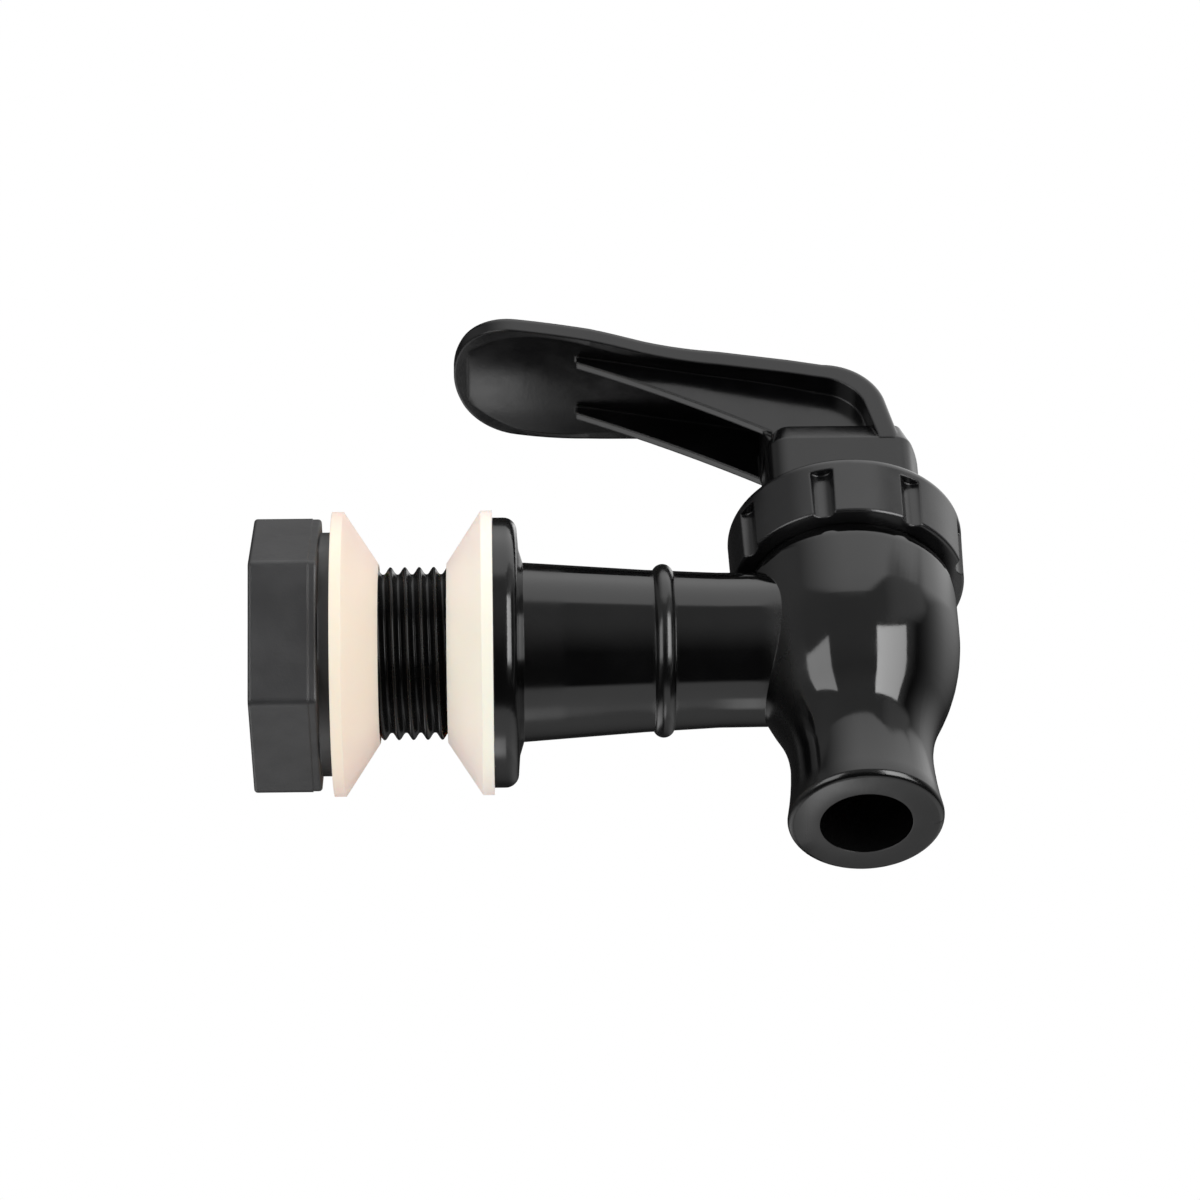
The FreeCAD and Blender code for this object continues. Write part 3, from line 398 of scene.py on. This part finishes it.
    tree.links.new(sharp, crease.inputs["Selection"])
    real = tree.nodes.new("GeometryNodeRealizeInstances")
    tree.links.new(crease.outputs[0], real.inputs[0])
    finish = tree.nodes.new("GeometryNodeSetMaterial")
    tree.links.new(real.outputs[0], finish.inputs["Geometry"])
    tree.links.new(given["Material"], finish.inputs["Material"])
    tree.links.new(finish.outputs[0], result.inputs["Geometry"])
    return tree


def grownMesh(name, tree, values):
    # runs a Geometry Nodes tree once and keeps its result as a plain mesh
    carrier = bpy.data.objects.new(name + "Carrier", bpy.data.meshes.new(name + "Carrier"))
    scene.collection.objects.link(carrier)
    modifier = carrier.modifiers.new("grow", "NODES")
    modifier.node_group = tree
    for item in tree.interface.items_tree:
        if item.in_out == "INPUT" and item.name in values:
            modifier[item.identifier] = values[item.name]
    grown = carrier.evaluated_get(bpy.context.evaluated_depsgraph_get())
    mesh = bpy.data.meshes.new_from_object(grown)
    bpy.data.objects.remove(carrier)
    mesh.name = name
    piece = bpy.data.objects.new(name, mesh)
    scene.collection.objects.link(piece)
    return piece


def bodyUnderThread():
    # the moulding as the frame gives it, with the shank's plain skin drawn in under the thread's sleeve
    mesh = nodes["valve_body"].data.copy()
    mesh.name = "mouldedBody"
    form = bmesh.new()
    form.from_mesh(mesh)
    weld = shank["mouldedWeld"]
    bmesh.ops.remove_doubles(form, verts=form.verts, dist=weld)
    for vertex in form.verts:
        reach = math.hypot(vertex.co.y, vertex.co.z)
        onSkin = abs(reach - shank["majorRadius"]) < shank["mouldedSkin"]
        if vertex.co.x < shank["flangeX"] + weld and onSkin:
            vertex.co.y *= shank["coreRadius"] / reach
            vertex.co.z *= shank["coreRadius"] / reach
    bmesh.ops.dissolve_degenerate(form, edges=form.edges, dist=weld)
    for edge in form.edges:
        edge.smooth = not edge.is_manifold or edge.calc_face_angle(0) < math.radians(shank["mouldedCrease"])
    for face in form.faces:
        face.smooth = True
    form.to_mesh(mesh)
    form.free()
    mesh.materials.clear()
    mesh.materials.append(bodyGloss)
    piece = bpy.data.objects.new("mouldedBody", mesh)
    scene.collection.objects.link(piece)
    return piece


mouldedBody = bodyUnderThread()
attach(mouldedBody, "valve")
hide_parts("valve_body")
shankThread = grownMesh("shankThread", threadTree(), {
    "Start X": shank["endX"], "Length": shank["flangeX"] - shank["endX"], "Pitch": shank["pitch"],
    "Major Radius": shank["majorRadius"], "Minor Radius": shank["minorRadius"],
    "End Radius": shank["endRadius"], "Core Radius": shank["coreRadius"], "Crest At": shank["crestAt"],
    "Crest Width": shank["crestWidth"], "Root Width": shank["rootWidth"], "Around": shank["around"],
    "Steps Per Pitch": shank["stepsPerPitch"],
    "Material": makeBlackPlastic("threadSatin")})
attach(shankThread, "valve")
print("thread made:", len(shankThread.data.polygons), "faces")


# Camera and studio

photoCamera = {"azimuth": -1.726, "elevation": -41.147, "roll": -1.747, "distance": 0.495904,
               "target": (0.011931, 0.0, 0.007542), "lens": 133.596, "sensor": 36.0}


def cameraAxes():
    azimuth, elevation, roll = (math.radians(photoCamera[name]) for name in ("azimuth", "elevation", "roll"))
    back = Vector((math.sin(azimuth) * math.cos(elevation), -math.cos(azimuth) * math.cos(elevation),
                   math.sin(elevation)))
    level = (-back).cross(Vector((0, 0, 1))).normalized()
    upright = level.cross(-back)
    right = level * math.cos(roll) + upright * math.sin(roll)
    up = upright * math.cos(roll) - level * math.sin(roll)
    return right, up, back


right, up, back = cameraAxes()
target = Vector(photoCamera["target"])
lens = bpy.data.cameras.new("photoCamera")
lens.lens = photoCamera["lens"]
lens.sensor_width = photoCamera["sensor"]
lens.sensor_fit = "HORIZONTAL"
lens.clip_start = 0.01
camera = bpy.data.objects.new("photoCamera", lens)
scene.collection.objects.link(camera)
turn = Matrix((right, up, back)).transposed().to_4x4()
camera.matrix_world = Matrix.Translation(target + back * photoCamera["distance"]) @ turn
scene.camera = camera

studio = {"floorColour": (0.93, 0.93, 0.93), "floorRoughness": 0.7, "floorHalf": 1.2, "floorGap": 0.0005,
          "fill": 0.66}
lamps = {
    # place in degrees right of and above the camera as the object sees it, distance, width, height, power
    "rightKey": {"place": (44, 24), "distance": 0.9, "size": (0.55, 0.8), "watts": 3.0},
    "leftKey": {"place": (-52, 20), "distance": 0.9, "size": (0.55, 0.6), "watts": 2.0},
    "highFill": {"place": (-10, 100), "distance": 0.9, "size": (0.8, 0.6), "watts": 2.8},
    "lowFill": {"place": (-5, -85), "distance": 0.9, "size": (0.8, 0.6), "watts": 2.2},
}
windows = {
    # what the gloss mirrors: four corners (low left, low right, high right, high left) in the same degrees,
    # and the glow at each of them
    "rightWindow": {"corners": ((24, -8), (62, -8), (60, 46), (25, 49)), "distance": 1.0,
                    "glow": (8.0, 5.0, 5.4, 8.0)},
    "leftWindow": {"corners": ((-64, -12), (-30, -12), (-31, 43), (-60, 28)), "distance": 1.0,
                   "glow": (3.0, 3.2, 3.8, 3.8)},
}
# the room behind the windows: screens with soft edges, each edge given as the degrees where the screen
# starts to show and where it has its full glow; a low edge may bulge upwards, given as the middle, the half
# width and the lift, or tilt
room = {"distance": 1.3, "step": 2, "dim": 0.025, "tiltedFrom": 95, "windowSteps": 12}
screens = {
    "high": {"left": (-90, 0), "right": (190, 60), "low": (66, 71), "high": (156, 110), "glow": 1.5,
             "bulge": (48, 36, 9)},
    "right": {"left": (70, 124), "right": (185, 112), "low": (-60, 40), "high": (150, 120), "glow": 0.9},
    "highRight": {"left": (66, 96), "right": (185, 116), "low": (46, 66), "high": (150, 120), "glow": 1.3,
                  "tilt": 0.45},
    "haze": {"left": (-150, -60), "right": (76, 62), "low": (-10, 45), "high": (90, 75), "glow": 0.38},
    "leftHaze": {"left": (-150, -66), "right": (-34, -60), "low": (-60, 0), "high": (90, 75), "glow": 0.36},
    "blob": {"left": (10, 54), "right": (104, 80), "low": (42, 53), "high": (90, 75), "glow": 0.6},
    "low": {"left": (-28, -8), "right": (150, 60), "low": (-104, -84), "high": (-44, -49), "glow": 0.8},
    "deepLow": {"left": (-13, -3), "right": (150, 60), "low": (-160, -80), "high": (-44, -49), "glow": 0.56},
    "tipLow": {"left": (-20, -8), "right": (14, 4), "low": (-104, -92), "high": (-70, -80), "glow": 2.5},
    "lowLeft": {"left": (-112, -80), "right": (-27, -38), "low": (-118, -100), "high": (-62, -78),
                "glow": 1.6},
}


def towards(across, rise):
    # a direction so many degrees right of and above the camera's, as the object sees it
    away = math.radians(math.hypot(across, rise))
    bearing = math.atan2(rise, across)
    sideways = right * math.cos(bearing) + up * math.sin(bearing)
    return sideways * math.sin(away) + back * math.cos(away)


def addLamp(name, place, distance, size, watts):
    light = bpy.data.lights.new(name, "AREA")
    light.shape = "RECTANGLE"
    light.size, light.size_y = size
    light.energy = watts
    lamp = bpy.data.objects.new(name, light)
    scene.collection.objects.link(lamp)
    away = towards(*place)
    side = up.cross(away).normalized()
    lamp.matrix_world = (Matrix.Translation(target + away * distance)
                         @ Matrix((side, away.cross(side), away)).transposed().to_4x4())
    lamp.visible_glossy = False


def addGlow(name, points, faces, glows):
    # a glowing surface that only the gloss sees, with a glow for each point
    mesh = bpy.data.meshes.new(name)
    mesh.from_pydata(points, [], faces)
    mesh.attributes.new("glow", "FLOAT", "POINT").data.foreach_set("value", glows)
    card = bpy.data.objects.new(name, mesh)
    scene.collection.objects.link(card)
    material = bpy.data.materials.new(name)
    material.use_nodes = True
    tree = material.node_tree
    shine = tree.nodes.new("ShaderNodeEmission")
    tree.links.new(addNode(tree, "ShaderNodeAttribute", attribute_name="glow").outputs["Fac"],
                   shine.inputs["Strength"])
    tree.links.new(shine.outputs[0], tree.nodes["Material Output"].inputs["Surface"])
    mesh.materials.append(material)
    card.visible_camera = False
    card.visible_diffuse = False
    card.visible_transmission = False
    card.visible_shadow = False


def addWindow(name, corners, distance, glow):
    # a curved card between four directions
    steps = room["windowSteps"]
    lowLeft, lowRight, highRight, highLeft = (Vector((*corner, shine))
                                              for corner, shine in zip(corners, glow))
    points = []
    glows = []
    faces = []
    for row in range(steps + 1):
        for column in range(steps + 1):
            low = lowLeft.lerp(lowRight, column / steps)
            high = highLeft.lerp(highRight, column / steps)
            across, rise, shine = low.lerp(high, row / steps)
            points.append(target + towards(across, rise) * distance)
            glows.append(shine)
            if row and column:
                corner = row * (steps + 1) + column
                faces.append((corner, corner - 1, corner - steps - 2, corner - steps - 1))
    addGlow(name, points, faces, glows)


def softStep(start, full, value):
    share = min(max((value - start) / (full - start), 0.0), 1.0)
    return share * share * (3 - 2 * share)


def roomGlow(across, rise):
    glow = room["dim"]
    for screen in screens.values():
        middle, half, lift = screen.get("bulge", (0, 1, 0))
        level = (rise - lift * softStep(half, 0, abs(across - middle))
                 + screen.get("tilt", 0) * (across - room["tiltedFrom"]))
        sides = softStep(*screen["left"], across) * softStep(*screen["right"], across)
        ends = softStep(*screen["low"], level) * softStep(*screen["high"], rise)
        glow = max(glow, screen["glow"] * sides * ends)
    return glow


def addSurround():
    # a round room that closes behind the object
    step = room["step"]
    count = 180 // step
    numbers = {}
    points = []
    glows = []
    for row in range(-count, count + 1):
        for column in range(-count, count + 1):
            across, rise = column * step, row * step
            if math.hypot(across, rise) <= 180:
                numbers[(row, column)] = len(points)
                points.append(target + towards(across, rise) * room["distance"])
                glows.append(roomGlow(across, rise))
    faces = []
    for row, column in numbers:
        corners = [(row, column), (row, column + 1), (row + 1, column + 1), (row + 1, column)]
        if all(corner in numbers for corner in corners):
            faces.append([numbers[corner] for corner in corners])
    addGlow("surround", points, faces, glows)


def addFloor():
    size = studio["floorHalf"]
    level = cadBox[0][2] - studio["floorGap"]
    mesh = bpy.data.meshes.new("floor")
    corners = [(-size, -size, level), (size, -size, level), (size, size, level), (-size, size, level)]
    mesh.from_pydata(corners, [], [(0, 1, 2, 3)])
    floor = bpy.data.objects.new("floor", mesh)
    scene.collection.objects.link(floor)
    material, tree, shader, place = newMaterial("paleFloor")
    shader.inputs["Base Color"].default_value = (*studio["floorColour"], 1)
    shader.inputs["Roughness"].default_value = studio["floorRoughness"]
    side = tree.nodes.new("ShaderNodeNewGeometry").outputs["Backfacing"]
    clear = tree.nodes.new("ShaderNodeBsdfTransparent")
    mix = tree.nodes.new("ShaderNodeMixShader")
    tree.links.new(side, mix.inputs[0])
    tree.links.new(shader.outputs[0], mix.inputs[1])
    tree.links.new(clear.outputs[0], mix.inputs[2])
    tree.links.new(mix.outputs[0], tree.nodes["Material Output"].inputs["Surface"])
    mesh.materials.append(material)
    floor.visible_diffuse = False
    floor.visible_glossy = False
    floor.visible_shadow = False


def addWorld():
    world = bpy.data.worlds.new("studio")
    scene.world = world
    world.use_nodes = True
    tree = world.node_tree
    light = tree.nodes["Background"]
    light.inputs["Strength"].default_value = studio["fill"]
    seen = tree.nodes.new("ShaderNodeBackground")
    ray = tree.nodes.new("ShaderNodeLightPath").outputs
    shows = calculate(tree, "MAXIMUM", calculate(tree, "MAXIMUM", ray["Is Camera Ray"], ray["Is Glossy Ray"]),
                      ray["Is Transmission Ray"])
    mix = tree.nodes.new("ShaderNodeMixShader")
    light.inputs["Color"].default_value = (1, 1, 1, 1)
    seen.inputs["Color"].default_value = (1, 1, 1, 1)
    tree.links.new(shows, mix.inputs[0])
    tree.links.new(light.outputs[0], mix.inputs[1])
    tree.links.new(seen.outputs[0], mix.inputs[2])
    tree.links.new(mix.outputs[0], tree.nodes["World Output"].inputs["Surface"])


addWorld()
addFloor()
for name, lamp in lamps.items():
    addLamp(name, **lamp)
addSurround()
for name, window in windows.items():
    addWindow(name, **window)
print("studio lit")
